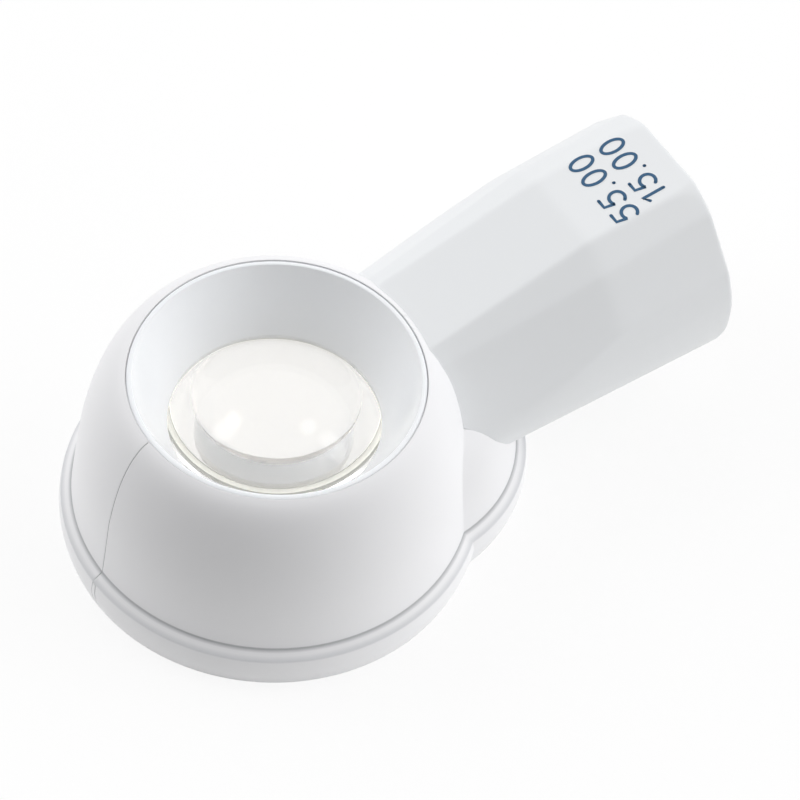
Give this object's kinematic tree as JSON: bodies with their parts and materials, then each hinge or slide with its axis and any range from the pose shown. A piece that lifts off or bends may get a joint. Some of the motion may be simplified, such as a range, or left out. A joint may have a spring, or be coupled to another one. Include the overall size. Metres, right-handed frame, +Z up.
{
  "type": "illuminated stand magnifier head",
  "caption": "Domed stand magnifier head with an eyecup over a strong lens and a faceted neck with a lamp and a bayonet socket for a battery handle.",
  "frame": {"origin": "point on the table plane under the lens, on the lens axis", "axes": "+Z up along the lens axis, +X along the neck towards its open end, +Y completes a right-handed frame"},
  "size_m": [0.0877, 0.0548, 0.0361],
  "materials": {
    "white_abs": "fine satin moulded white",
    "neck_abs": "fine satin moulded white, a shade cooler",
    "eyecup_abs": "smooth moulded white",
    "lens_glass": "polished, coated",
    "gasket_rubber": "soft grey",
    "seal_rubber": "soft black",
    "grey_abs": "satin",
    "nickel_steel": "nickel plated",
    "spring_steel": "bright drawn wire",
    "diffuser_acrylic": "opal, lets light through",
    "reflector_metal": "metallised",
    "board_white": "white solder mask",
    "emitter_resin": "pale yellow phosphor resin",
    "component_black": "moulded",
    "housing_black": "satin",
    "gold_brass": "plated"
  },
  "bodies": {
    "head": {"shell_left": "white_abs", "shell_right": "white_abs", "eyecup": "eyecup_abs", "lens": "lens_glass", "lens_gasket": "gasket_rubber", "lens_ring": "grey_abs", "neck_sleeve": "neck_abs", "socket_liner": "nickel_steel", "socket_seal": "seal_rubber", "shell_screws": "nickel_steel", "diffuser": "diffuser_acrylic", "reflector": "reflector_metal", "led_board": "board_white", "led_emitter": "emitter_resin", "board_resistors": "component_black", "centre_terminal": "gold_brass", "lamp_housing": "housing_black", "lamp_cap": "housing_black", "ground_strip": "gold_brass", "contact_spring": "spring_steel"},
    "contact": {"contact_pin": "gold_brass"}
  },
  "joints": [
    {"name": "contact_press", "type": "slide", "parent": "head", "child": "contact", "axis": [-1, 0, 0], "range_m": [0, 0.0016], "stiffness_N_per_m": 400, "springref_m": -0.001, "deforming": ["contact_spring"]}
  ]
}
